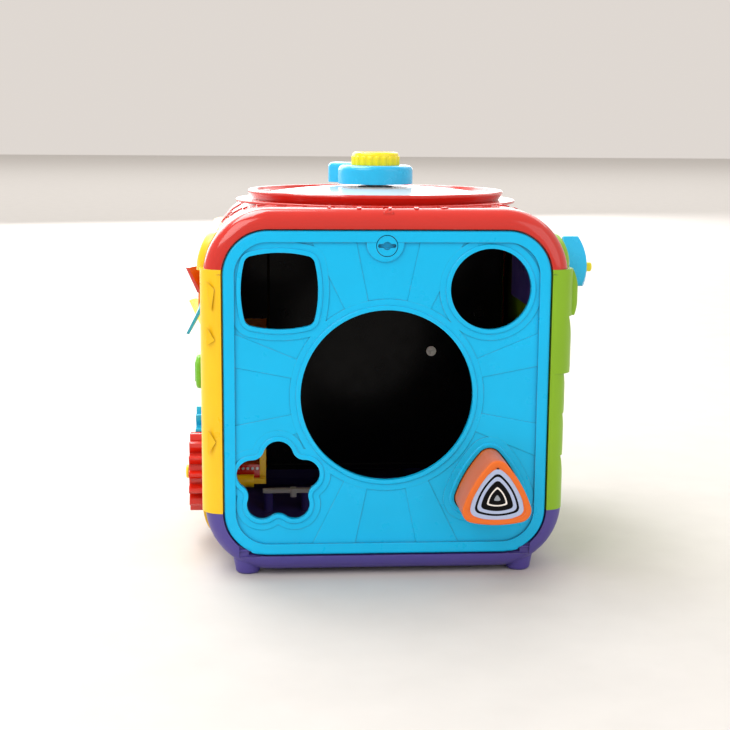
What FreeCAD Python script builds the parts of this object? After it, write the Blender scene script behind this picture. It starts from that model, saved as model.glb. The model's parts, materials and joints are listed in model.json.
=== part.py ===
import FreeCAD, Part
import math
import os

# Baby activity cube, millimetres. Origin on the floor under the middle of the cube, +Z up,
# the sorter door faces -Y and the music panel faces +Y.

V = FreeCAD.Vector

# ---- driving dimensions -------------------------------------------------------------------

# rounded cube: half width (X), half depth (Y), underside and top
HALF_W = 134.0
HALF_D = 128.0
BODY_BOTTOM = 3.2
BODY_TOP = 274.0
PROFILE_R = 49.0
EDGE_R = 13.0
WALL = 3.0
PANEL_BOTTOM = 49.0
PANEL_TOP = 230.0

# side panels stand a little proud and lap over the cover's shoulder and the tray's foot; each lap
# follows the rounded cube at a constant distance
LEFT_HALF_W = 136.5
LAP_OUT = 5.6
LEFT_FOOT_LAP_OUT = 2.5
RIGHT_FOOT_LAP_OUT = 1.6
LAP_TOP = 254.0
LAP_BOTTOM = 24.0
LAP_HALF_SPAN = 108.0
LAP_R = 22.0
LAP_ROUND = 14.0
FOOT_LAP_ROUND = 1.2
LAP_INNER = 112.0
LAP_JOIN = 3.0
LAP_HIDDEN = 50.0
TRIM_Z = 226.0
TRIM_WIDTH = 0.8
TRIM_DEPTH = 0.45
LOBE_STEP_X = 139.0
LOBE_STEP_BACK = 13.0
LOBE_STEP_R = 7.0
# raised triangles on the front strip of the left panel: three corners (x, z) each
EMBOSSED = [
    ((-131.5, 222.0), (-125.5, 216.0), (-127.8, 200.4)),
    ((-131.5, 188.8), (-125.5, 178.8), (-131.5, 175.0)),
    ((-131.5, 113.0), (-125.5, 103.5), (-131.5, 94.0)),
]
EMBOSS = 0.35
FIT = 0.15
RIGHT_INNER = 128.2
# right panel lobes, from the top: z top, z bottom, x at top, z of the crest, x of the crest, x at bottom
LOBES = [
    (230.0, 195.0, 138.0, 212.0, 143.6, 140.5),
    (195.0, 152.5, 135.1, 172.0, 138.8, 137.5),
    (152.5, 122.0, 132.2, 135.0, 134.4, 133.4),
    (122.0, 90.0, 132.2, 104.0, 134.2, 133.2),
    (90.0, 49.0, 131.4, 68.0, 134.4, 133.6),
]

# front door and rear panel share one outline
DOOR_HALF_W = 120.0
DOOR_BOTTOM = 16.6
DOOR_TOP = 258.5
DOOR_R = 33.0
DOOR_GAP = 0.9
DOOR_BACK = 123.0
DOOR_FACE = 126.2
RIM_WIDTH = 7.4
RIM_ROUND = 2.4
DOOR_BACK_ROUND = 1.2
LEDGE_LAP = 5.0
LEDGE_OUT = 122.4
LEDGE_IN = 119.9
FRAME_WALL = 3.1

# holes of the door: centre (x, z) and size
BIG_HOLE = (0.0, 137.0)
BIG_HOLE_R = 63.6
SQUARE_HOLE = (-78.7, 214.4)
SQUARE_FLAT = 28.0
SQUARE_REACH = 33.6
SQUARE_CORNER = 6.5
CIRCLE_HOLE = (75.5, 215.7)
CIRCLE_R = 29.7
FLOWER_HOLE = (-80.0, 72.0)
FLOWER_RING = 20.5
FLOWER_PETAL = 11.2
FLOWER_VALLEY = 9.0
LIP = 3.6
LIP_HEIGHT = 1.5
STEP = 8.0
STEP_HEIGHT = 0.5

# faint rays round the big hole, degrees from the horizontal
RAYS = ((11.0, 22.5), (64.0, 78.4), (101.6, 116.0), (157.5, 169.0))

# triangle block and its hole
BLOCK = (77.0, 68.8)
BLOCK_REACH = 27.8
BLOCK_FLAT = 20.0
BLOCK_CORNER = 8.8
BLOCK_PLAY = 0.8
BLOCK_OUT = 166.0
BLOCK_IN = 111.0

# door hinge and latch
HINGE_R = 3.4
HINGE_W = HALF_D - HINGE_R
HINGE_Z = DOOR_BOTTOM + HINGE_R
HINGE_PIN_R = 1.2
KNUCKLE_RELIEF_R = HINGE_R + 0.6
CORNER_RELIEF_R = HINGE_R * math.sqrt(2) + 0.5
CORNER_RELIEF_X = (93.0, 109.0)
KNUCKLE_X = (84.0, 100.0)
HINGE_BOSS_X = (102.6, 113.0)
HINGE_BOSS_Z = (13.0, 27.0)
PIN_X = (86.0, 109.8)
LATCH = (-1.0, 247.3)
LATCH_R = 7.6
RUN = 0.06

# dial on the top
RING_R = 102.4
RING_TOP = 282.2
PLATEAU_R = 112.0
PLATEAU_TOP = 275.0
PLATE_R = 95.4
PLATE_EDGE = 278.6
PLATE_TOP = 285.6
HUB_R = 30.0
HUB_BOTTOM = 286.8
HUB_TOP = 301.5
HUB_ROUND = 4.0
ARM_END = (-27.0, 33.0)
ARM_R = 9.5
ARM_TOP = HUB_TOP + 1.4
ARM_ROUND = 3.6
KNOB_R = 19.5
KNOB_TOP = 311.9
KNOB_CROWN = 3.0
KNOB_RIBS = 20
KNOB_RIB_R = 2.4
SHAFT_R = 5.0
SHAFT_FLANGE = 0.8

# gears on the left side: name, teeth, centre (y, z), outer face x, hub height beyond the face
GEAR_MODULE = 4.0
GEAR_ANGLE = math.radians(25.0)
GEAR_BACKLASH = 1.0
GEAR_INNER = 137.6
GEARS = [
    ("red_gear", 14, (-28.0, 57.0), 149.6, 1.2),
    ("blue_gear", 12, (21.5, 72.93), 146.6, 1.2),
    ("orange_gear", 10, (64.7, 81.3), 143.4, 1.2),
]
AXLE_R = 3.0

# pinwheel and slider on the left side, spinner and roller on the right side (y, z)
PINWHEEL = (0.0, 192.0)
PINWHEEL_HUB_R = 8.5
PINWHEEL_HUB_OUT = 142.8
# sections of a sail: radius, middle x, half width, thickness, twist in degrees
SAIL = ((5.0, 140.4, 4.0, 3.2, 10.0), (17.0, 142.8, 10.0, 2.8, 20.0), (28.0, 145.6, 13.5, 2.4, 24.0))
SLIDER = (0.0, 135.0)
SLIDER_TRAVEL = 30.0
SPINNER = (-45.0, 224.0)
SPINNER_REACH = 24.3
SPINNER_FLAT = 13.2
SPINNER_CORNER = 2.0
SPINNER_X = (144.4, 163.6)
SPINNER_DOME_R = 46.0
SPINNER_TIP_R = 3.7
ROLLER = (125.0, 106.0)
ROLLER_R = 15.0
ROLLER_HALF = 27.0

# electronics housing behind the cavity
HOUSE_X0 = -88.0
HOUSE_X1 = 112.5
HOUSE_Z0 = 42.0
HOUSE_Z1 = 234.0
HOUSE_Y = 36.0
HOUSE_WALL = 2.5
HOUSE_ROUND = 3.0
HOUSE_LIP = (2.0, 4.2)
WING_X = -118.0
WING_Z = 172.0
SCREW_POST_R = 4.0
SCREW_R = 2.0
SCREW_HEAD = (4.2, 1.4)

# gear carrier and its retainer, seen through the flower hole
CARRIER_X = (-94.0, -89.0)
CARRIER_Y = (-60.0, 80.0)
CARRIER_Z = (54.0, 104.0)
CARRIER_EAR_R = 6.0
CARRIER_ARM_Z = 88.0
CARRIER_ARM = 4.0
ROLL_X = (-112.0, -98.5)
ROLL_YZ = (-66.2, 58.2)
ROLL_R = 5.0
RETAINER_X = (-112.5, -94.0)
RETAINER_Y = (-61.0, -34.0)
RETAINER_Z = (56.0, 70.0)
RETAINER_SCREWS = 5
RETAINER_SCREW_R = 1.1

# white bar over two posts of the tray
BAR_X = (-92.0, -50.0)
BAR_Y = (29.5, 36.5)
BAR_Z = (22.4, 25.4)
BAR_POST_X = (-87.0, -55.0)
BAR_POST_R = 4.0

# rear panel
REAR_FACE = 126.0
KEY_COUNT = 5
KEY_PITCH = 29.0
KEY_MIDDLE = -12.0
KEY_HALF_W = 13.0
KEY_Z = (52.0, 104.0)
BUTTON_Z = 136.0
BUTTON_X = (-84.0, -36.0, 12.0, 60.0)
BUTTON_R = 17.0
LIGHT = (8.0, 200.0)
LIGHT_R = 29.0
SPEAKER = (-64.0, 205.0)
SPEAKER_R = 23.0
SWITCH = (66.0, 218.0)
BUTTON_GAP = 0.4
BOARD_Y = 112.0

# screw towers, feet and batteries
TOWER = (120.5, 105.5)
TOWER_R = 5.5
TOWER_SPLIT = 60.0
TOWER_BORE_R = 3.2
SCREW_CLEAR_R = 1.7
SCREW_CORE_R = 1.3
FOOT = (103.0, 112.0)
FOOT_R = 9.0
FOOT_TOP = 14.0
FOOT_EDGE = 1.2
FOOT_FLARE = 2.4
CENTRE_FOOT_R = 14.0
SCREW_HEAD_Z = 52.0
CELL_R = 7.2
CELL_L = 50.5
CELL_Z = BODY_BOTTOM + 12.3
CELL_Y = (73.0, 89.0, 105.0)
BATTERY_HALF_X = 33.0
BATTERY_WALL = 2.0
BATTERY_TOP = BODY_BOTTOM + 23.3
LID_SCREW = (38.0, 89.0)
LID_POST_TOP = BODY_BOTTOM + 9.3
LID_PILOT_TOP = BODY_BOTTOM + 7.3
LID_RIBS = 13

# ---- placing: every part of a side is drawn flat and set up with its outward axis w -------

SIDES = {
    "front": (V(1, 0, 0), V(0, 0, 1), V(0, -1, 0)),
    "back": (V(-1, 0, 0), V(0, 0, 1), V(0, 1, 0)),
    "left": (V(0, -1, 0), V(0, 0, 1), V(-1, 0, 0)),
    "right": (V(0, 1, 0), V(0, 0, 1), V(1, 0, 0)),
    "top": (V(1, 0, 0), V(0, 1, 0), V(0, 0, 1)),
}


def stand(shape, side):
    """Turn a flat-drawn shape (u, v, outward w) onto a side of the cube."""
    u, v, w = SIDES[side]
    matrix = FreeCAD.Matrix(u.x, v.x, w.x, 0, u.y, v.y, w.y, 0, u.z, v.z, w.z, 0, 0, 0, 0, 1)
    turned = shape.copy()
    turned.Placement = FreeCAD.Placement(matrix).multiply(shape.Placement)
    return turned


def slab(outline, w0, w1):
    """Solid between two outward levels with the given flat outline."""
    face = Part.Face(outline)
    face.translate(V(0, 0, w0))
    return face.extrude(V(0, 0, w1 - w0))


def box(x0, x1, y0, y1, z0, z1):
    return Part.makeBox(x1 - x0, y1 - y0, z1 - z0, V(x0, y0, z0))


def rod(radius, w0, w1, centre=(0.0, 0.0)):
    """Round bar along w."""
    return Part.makeCylinder(radius, w1 - w0, V(centre[0], centre[1], w0))


def union(shapes):
    """Fuse and drop the seams between faces that run on."""
    return shapes[0].multiFuse(shapes[1:]).removeSplitter()


def soften(shape, radius, w):
    """Round every edge that lies at outward level w."""
    tol = 1e-4
    edges = [e for e in shape.Edges if e.BoundBox.ZMin > w - tol and e.BoundBox.ZMax < w + tol]
    return shape.makeFillet(radius, edges)


def turned_profile(points):
    """Solid of revolution about w from (radius, w) points."""
    wire = Part.makePolygon([V(r, 0, w) for r, w in points + points[:1]])
    return Part.Face(wire).revolve(V(0, 0, 0), V(0, 0, 1), 360)


# ---- flat outlines ------------------------------------------------------------------------


def arc(a, b, c):
    return Part.Arc(V(a[0], a[1], 0), V(b[0], b[1], 0), V(c[0], c[1], 0)).toShape()


def line(a, b):
    return Part.LineSegment(V(a[0], a[1], 0), V(b[0], b[1], 0)).toShape()


def polar(radius, angle, centre=(0.0, 0.0)):
    return (centre[0] + radius * math.cos(angle), centre[1] + radius * math.sin(angle))


def circle(radius, centre=(0.0, 0.0)):
    return Part.Wire(Part.makeCircle(radius, V(centre[0], centre[1], 0)))


def rounded(u0, u1, v0, v1, radius):
    """Rectangle with round corners."""
    corners = [(u1 - radius, v1 - radius), (u0 + radius, v1 - radius),
               (u0 + radius, v0 + radius), (u1 - radius, v0 + radius)]
    arcs = []
    for k, centre in enumerate(corners):
        start = k * math.pi / 2
        arcs.append([polar(radius, start + step * math.pi / 4, centre) for step in range(3)])
    edges = []
    for k in range(4):
        edges.append(arc(*arcs[k]))
        edges.append(line(arcs[k][2], arcs[(k + 1) % 4][0]))
    return Part.Wire(edges)


def bulged(sides, reach, flat, corner, centre, grow=0.0):
    """Polygon with slightly bulging sides and round corners, the first corner at the top
    for a triangle and at 45 degrees for a square. Growing it keeps it parallel."""
    half = math.pi / sides
    ring = reach - corner
    inner = flat - corner
    back = (ring ** 2 - inner ** 2) / (2 * (inner - ring * math.cos(half)))
    first = math.pi / 2 if sides % 2 else half
    edges = []
    ends = []
    for k in range(sides):
        angle = first + 2 * k * half
        middle = polar(ring, angle, centre)
        touch = []
        for way in (-1, 1):
            side = polar(-back, angle + way * half, centre)
            reach_angle = math.atan2(middle[1] - side[1], middle[0] - side[0])
            touch.append(polar(flat + back + grow, reach_angle, side))
        edges.append(arc(touch[0], polar(reach + grow, angle, centre), touch[1]))
        ends.append(touch)
    for k in range(sides):
        middle_angle = first + (2 * k + 1) * half
        edges.append(arc(ends[k][1], polar(flat + grow, middle_angle, centre), ends[(k + 1) % sides][0]))
    return Part.Wire(Part.__sortEdges__(edges))


def petals(count, ring, petal, valley, centre, grow=0.0):
    """Flower outline: round petals joined by round valleys, one petal at the top."""
    half = math.pi / count
    dip = ring * math.cos(half) + math.sqrt((petal + valley) ** 2 - (ring * math.sin(half)) ** 2)
    edges = []
    for k in range(count):
        angle = math.pi / 2 + 2 * k * half
        middle = polar(ring, angle, centre)
        touch = []
        for way in (-1, 1):
            low = polar(dip, angle + way * half, centre)
            out = math.atan2(low[1] - middle[1], low[0] - middle[0])
            touch.append(polar(petal + grow, out, middle))
        edges.append(arc(touch[0], polar(ring + petal + grow, angle, centre), touch[1]))
        low = polar(dip, angle + half, centre)
        following = polar(ring, angle + 2 * half, centre)
        out = math.atan2(low[1] - following[1], low[0] - following[0])
        far = polar(petal + grow, out, following)
        edges.append(arc(touch[1], polar(dip - valley + grow, angle + half, centre), far))
    return Part.Wire(Part.__sortEdges__(edges))


def door_outline(grow=0.0):
    half = DOOR_HALF_W + grow
    return rounded(-half, half, DOOR_BOTTOM - grow, DOOR_TOP + grow, DOOR_R + grow)


def square_outline(grow=0.0):
    return bulged(4, SQUARE_REACH, SQUARE_FLAT, SQUARE_CORNER, SQUARE_HOLE, grow)


def flower_outline(grow=0.0):
    return petals(5, FLOWER_RING, FLOWER_PETAL, FLOWER_VALLEY, FLOWER_HOLE, grow)


def triangle_outline(grow=0.0):
    return bulged(3, BLOCK_REACH, BLOCK_FLAT, BLOCK_CORNER, BLOCK, grow)


def hole_outlines(grow=0.0):
    return [circle(BIG_HOLE_R + grow, BIG_HOLE), square_outline(grow), circle(CIRCLE_R + grow, CIRCLE_HOLE),
            flower_outline(grow), triangle_outline(BLOCK_PLAY + grow)]


# ---- casing -------------------------------------------------------------------------------


def envelope(inset):
    """The rounded cube, pulled in by inset."""
    half = HALF_W - inset
    outline = rounded(-half, half, BODY_BOTTOM + inset, BODY_TOP - inset, PROFILE_R - inset)
    depth = HALF_D - inset
    solid = slab(outline, -depth, depth)
    solid = soften(solid, EDGE_R - inset, depth)
    return stand(soften(solid, EDGE_R - inset, -depth), "front")


def column(half_w, half_d, radius, z0, z1):
    """Upright prism with a rounded plan."""
    return slab(rounded(-half_w, half_w, -half_d, half_d, radius), z0, z1)


def opening(side):
    return stand(slab(door_outline(DOOR_GAP), LEDGE_IN - 1, HALF_D + 2), side)


def frame(side):
    """Recess wall and ledge round the door or the rear panel."""
    wall = slab(door_outline(DOOR_GAP + FRAME_WALL), LEDGE_IN, HALF_D).cut(
        slab(door_outline(DOOR_GAP), LEDGE_IN - 1, HALF_D + 1))
    ledge = slab(door_outline(DOOR_GAP + FRAME_WALL), LEDGE_IN, LEDGE_OUT).cut(
        slab(door_outline(-LEDGE_LAP), LEDGE_IN - 1, LEDGE_OUT + 1))
    return stand(wall.fuse(ledge), side)


def slice_z(z0, z1, x0=-200.0, x1=200.0):
    return box(x0, x1, -200, 200, z0, z1)


def tower_places():
    return [(sx * TOWER[0], sy * TOWER[1]) for sx in (-1, 1) for sy in (-1, 1)]


def hinge_bar(radius, x0, x1):
    """Bar along the door's hinge axis."""
    return Part.makeCylinder(radius, x1 - x0, V(x0, -HINGE_W, HINGE_Z), V(1, 0, 0))


def corner_relief():
    """Room in front of the hinge axis for the door's lower corners as they swing out and down."""
    x0, x1 = CORNER_RELIEF_X
    swing = hinge_bar(CORNER_RELIEF_R, -x1, -x0).fuse(hinge_bar(CORNER_RELIEF_R, x0, x1))
    return swing.common(box(-HALF_W, HALF_W, -HALF_D - CORNER_RELIEF_R, -HINGE_W, 0.0, PANEL_BOTTOM))


def make_casing():
    """Base tray, top cover and the two side panels, with the recesses for the door and rear panel."""
    outer = envelope(0.0)
    cover_space = envelope(-FIT)
    shell = outer.cut(envelope(WALL)).cut(opening("front")).cut(opening("back"))
    frames = frame("front").fuse(frame("back"))
    cover_frames = frames.common(outer)
    return {
        "base_tray": make_base(shell, cover_frames, outer),
        "top_cover": make_top(shell, cover_frames, outer),
        "left_panel": make_left_panel(frames, cover_space),
        "right_panel": make_right_panel(frames, cover_space),
    }


def foot_places():
    return [(sx * FOOT[0], sy * FOOT[1]) for sx in (-1, 1) for sy in (-1, 1)]


def make_foot():
    return turned_profile([(0, 0), (FOOT_R - FOOT_EDGE, 0), (FOOT_R, FOOT_EDGE),
                           (FOOT_R + FOOT_FLARE, FOOT_TOP), (0, FOOT_TOP)])


def make_base(shell, frames, outer):
    band = slice_z(0, PANEL_BOTTOM)
    floor = BODY_BOTTOM + 1
    parts = [shell.common(band), frames.common(band)]
    for x, y in tower_places():
        parts.append(rod(TOWER_R, BODY_BOTTOM, TOWER_SPLIT, (x, y)).common(outer))
    for sx in (-1, 1):
        x0, x1 = sorted((sx * HINGE_BOSS_X[0], sx * HINGE_BOSS_X[1]))
        boss = box(x0, x1, -HALF_D, -LEDGE_IN, HINGE_BOSS_Z[0], HINGE_BOSS_Z[1]).common(outer)
        parts.append(boss.cut(opening("front").cut(slice_z(TOWER_SPLIT, BODY_TOP))))
    parts += battery_walls()
    for x in BAR_POST_X:
        parts.append(rod(BAR_POST_R, floor, BAR_Z[0], (x, (BAR_Y[0] + BAR_Y[1]) / 2)))
    inside = envelope(WALL)
    for x, y in foot_places():
        foot = make_foot()
        foot.translate(V(x, y, 0))
        parts.append(foot.cut(inside))
    parts.append(soften(rod(CENTRE_FOOT_R, 0.0, floor), FOOT_EDGE, 0.0))
    base = union(parts)
    for x, y in tower_places():
        base = base.cut(rod(TOWER_BORE_R, BODY_BOTTOM - 1, SCREW_HEAD_Z, (x, y)))
        base = base.cut(rod(SCREW_CLEAR_R, SCREW_HEAD_Z - 1, TOWER_SPLIT + 1, (x, y)))
    base = base.cut(hinge_bar(KNUCKLE_RELIEF_R, -KNUCKLE_X[1] - 2, KNUCKLE_X[1] + 2)).cut(corner_relief())
    for sx in (-1, 1):
        x0, x1 = sorted((sx * (KNUCKLE_X[1] - 5), sx * (PIN_X[1] + 0.2)))
        base = base.cut(hinge_bar(HINGE_PIN_R, x0, x1))
    return base.cut(battery_opening())


def battery_span(margin):
    """Front and back of the battery compartment, with a margin round the cells."""
    return CELL_Y[0] - CELL_R - margin, CELL_Y[-1] + CELL_R + margin


def battery_walls():
    """Open-bottomed battery compartment on the tray's floor."""
    y0, y1 = battery_span(BATTERY_WALL + 0.6)
    half_x = BATTERY_HALF_X - BATTERY_WALL
    outer_box = box(-BATTERY_HALF_X, BATTERY_HALF_X, y0, y1, BODY_BOTTOM + 1, BATTERY_TOP)
    walls = outer_box.cut(box(-half_x, half_x, y0 + BATTERY_WALL, y1 - BATTERY_WALL,
                              BODY_BOTTOM, BATTERY_TOP - BATTERY_WALL))
    return [walls, rod(4.0, BODY_BOTTOM + 1, LID_POST_TOP, LID_SCREW)]


def battery_opening():
    y0, y1 = battery_span(0.6)
    half_x = BATTERY_HALF_X - BATTERY_WALL
    hole = box(-half_x, half_x, y0, y1, BODY_BOTTOM - 1, BODY_BOTTOM + WALL + 1)
    seat = box(-half_x - 4.4, LID_SCREW[0] + 5.4, y0 - 4.4, y1 + 4.4, BODY_BOTTOM - 1, BODY_BOTTOM + 1.6)
    return hole.fuse(seat).fuse(rod(SCREW_CORE_R, BODY_BOTTOM - 1, LID_PILOT_TOP, LID_SCREW))


def make_battery_door():
    """Lid with a plug into the compartment and a ribbed thumb patch."""
    y0, y1 = battery_span(4.6)
    half_x = BATTERY_HALF_X - BATTERY_WALL
    lid = slab(rounded(-half_x - 4, LID_SCREW[0] + 5, y0, y1, 2.0), BODY_BOTTOM, BODY_BOTTOM + 1.5)
    plug = box(-half_x + 0.4, half_x - 0.4, y0 + 4.4, y1 - 4.4, BODY_BOTTOM + 1.0, BODY_BOTTOM + WALL)
    ribs = []
    for k in range(LID_RIBS):
        x = 4.0 * (k - LID_RIBS / 2)
        ribs.append(box(x, x + 1.4, y0 + 8, y0 + 20, BODY_BOTTOM - 0.6, BODY_BOTTOM + 0.5))
    return union([lid, plug] + ribs).cut(rod(SCREW_CLEAR_R, 0, TOWER_SPLIT, LID_SCREW))


def make_top(shell, frames, outer):
    band = slice_z(PANEL_TOP, 400)
    keeper = stand(slab(rounded(-19.0, 17.0, 234.0, 262.0, 6.0), LEDGE_IN, LEDGE_OUT), "front")
    plateau = soften(rod(PLATEAU_R, BODY_TOP - 1, PLATEAU_TOP), 0.8, PLATEAU_TOP)
    parts = [shell.common(band), frames.common(band), keeper, plateau, rod(12.0, 262.0, BODY_TOP - 1)]
    for x, y in tower_places():
        post = rod(TOWER_R, TOWER_SPLIT, BODY_TOP - 1, (x, y)).common(outer)
        parts.append(post)
    cover = union(parts)
    for x, y in tower_places():
        cover = cover.cut(rod(1.3, TOWER_SPLIT - 1, 80.0, (x, y)))
    slot = stand(slab(rounded(LATCH[0] - 4.2, LATCH[0] + 4.2, LATCH[1] - 11.3, LATCH[1] + 11.3, 4.0),
                      LEDGE_IN - 1, LEDGE_OUT + 1), "front")
    groove = rod(PLATEAU_R + 0.9, BODY_TOP - 0.8, BODY_TOP + 1)
    groove = groove.cut(rod(PLATEAU_R, BODY_TOP - 2, BODY_TOP + 2))
    return cover.cut(slot).cut(groove).cut(rod(8.0, 260.0, 280.0))


def lap(side, z0, z1, out, edge, reach):
    """One lap: a plate with round corners, rounded over, at a constant distance from the cube."""
    plate = slab(rounded(-LAP_HALF_SPAN, LAP_HALF_SPAN, z0, z1, LAP_R), LAP_INNER, HALF_W + out)
    return stand(soften(plate, edge, HALF_W + out), side).common(envelope(-out)).common(reach)


def laps(side, cover_space, hollow, foot_out):
    """Laps of a side panel over the shoulder of the top cover and over the foot of the base tray.

    Cover and tray fill only the space outside the panel's band, so the laps clear them there, and
    inside the band they run a little way down the panel's own wall and are one piece with it."""
    band = slice_z(PANEL_BOTTOM, PANEL_TOP)
    neighbours = cover_space.cut(band).fuse(hollow.common(band))
    upper = lap(side, PANEL_TOP - LAP_HIDDEN, LAP_TOP, LAP_OUT, LAP_ROUND, slice_z(PANEL_TOP - LAP_JOIN, 300))
    lower = lap(side, LAP_BOTTOM, PANEL_BOTTOM + LAP_HIDDEN, foot_out, FOOT_LAP_ROUND,
                slice_z(0, PANEL_BOTTOM + LAP_JOIN))
    return [upper.cut(neighbours), lower.cut(neighbours)]


def trim_line():
    """Shallow groove across the front strips of the side panels."""
    return box(-LEFT_HALF_W, LEFT_HALF_W + 10, -HALF_D - 1, -HALF_D + TRIM_DEPTH, TRIM_Z, TRIM_Z + TRIM_WIDTH)


def embossed_triangles():
    marks = []
    for corners in EMBOSSED:
        wire = Part.makePolygon([V(x, z, 0) for x, z in corners + corners[:1]])
        marks.append(stand(slab(wire, HALF_D - 1, HALF_D + EMBOSS), "front"))
    return marks


def make_left_panel(frames, cover_space):
    wide = column(LEFT_HALF_W, HALF_D, EDGE_R + LEFT_HALF_W - HALF_W, PANEL_BOTTOM, PANEL_TOP)
    hollow = column(HALF_W - WALL, HALF_D - WALL, EDGE_R - WALL, 0, 300)
    side = slice_z(PANEL_BOTTOM, PANEL_TOP, x1=0.0)
    wall = wide.cut(hollow).common(side).cut(opening("front")).cut(opening("back"))
    edge = frames.common(side).common(wide)
    bosses = [rod(AXLE_R + 4, 129.0, GEAR_INNER - 0.4, (-y, z)) for _n, _t, (y, z), _x, _h in GEARS]
    bosses.append(rod(7.0, 124.0, GEAR_INNER - 0.4, (-PINWHEEL[0], PINWHEEL[1])))
    caps = laps("left", cover_space, hollow, LEFT_FOOT_LAP_OUT)
    panel = union([wall, edge] + caps + embossed_triangles() + [stand(boss, "left") for boss in bosses])
    for hole in gear_holes() + [rod(AXLE_R, 100, 160, (-PINWHEEL[0], PINWHEEL[1]))]:
        panel = panel.cut(stand(hole, "left"))
    track = rounded(-SLIDER_TRAVEL - 6.6, SLIDER_TRAVEL + 6.6, SLIDER[1] - 4.4, SLIDER[1] + 4.4, 4.0)
    return panel.cut(stand(slab(track, 120, 150), "left")).cut(trim_line())


def gear_holes():
    return [rod(AXLE_R, 80, 160, (-y, z)) for _n, _t, (y, z), _x, _h in GEARS]


def make_right_panel(frames, cover_space):
    side = slice_z(PANEL_BOTTOM, PANEL_TOP, x0=0.0)
    hollow = column(RIGHT_INNER, HALF_D - WALL, EDGE_R - WALL, 0, 300)
    lobes = []
    for z_top, z_bottom, x_top, z_crest, x_crest, x_bottom in LOBES:
        edges = [arc((x_top, z_top), (x_crest, z_crest), (x_bottom, z_bottom)),
                 line((x_bottom, z_bottom), (90.0, z_bottom)), line((90.0, z_bottom), (90.0, z_top)),
                 line((90.0, z_top), (x_top, z_top))]
        bar = stand(slab(Part.Wire(edges), -HALF_D, HALF_D), "front")
        x_front = min(x_crest, LOBE_STEP_X)
        lobes.append(bar.common(column(x_front, HALF_D, EDGE_R + x_front - HALF_W, z_bottom, z_top)))
        if x_crest > LOBE_STEP_X:
            lobes.append(bar.common(column(x_crest, HALF_D - LOBE_STEP_BACK, LOBE_STEP_R, z_bottom, z_top)))
    wide = union(lobes)
    wall = wide.cut(hollow).cut(opening("front")).cut(opening("back"))
    edge = frames.common(side).common(wide)
    caps = laps("right", cover_space, hollow, RIGHT_FOOT_LAP_OUT)
    boss = stand(rod(5.8, 126.0, 143.6, SPINNER), "right")
    panel = union([wall, edge, boss] + caps)
    window = rounded(-ROLLER_HALF - 2, ROLLER_HALF + 2, ROLLER[1] - ROLLER_R - 1, ROLLER[1] + ROLLER_R + 1, 4)
    panel = panel.cut(stand(slab(window, 120, 150), "right"))
    return panel.cut(stand(rod(AXLE_R + RUN, 100, 160, SPINNER), "right")).cut(trim_line())


# ---- door ---------------------------------------------------------------------------------


def raised_ring(outer_wire, inner_wire, w0, w1, radius):
    ring = slab(outer_wire, w0, w1).cut(slab(inner_wire, w0 - 1, w1 + 1))
    return soften(ring, radius, w1)


def sector(r0, r1, a0, a1, centre, w0, w1):
    """Wedge between two radii and two angles."""
    angles = [math.radians(a) for a in (a0, a1)]
    points = [polar(r0, angles[0], centre), polar(r1, angles[0], centre),
              polar(r1, angles[1], centre), polar(r0, angles[1], centre)]
    wire = Part.makePolygon([V(u, v, 0) for u, v in points + points[:1]])
    return slab(wire, w0, w1)


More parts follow.
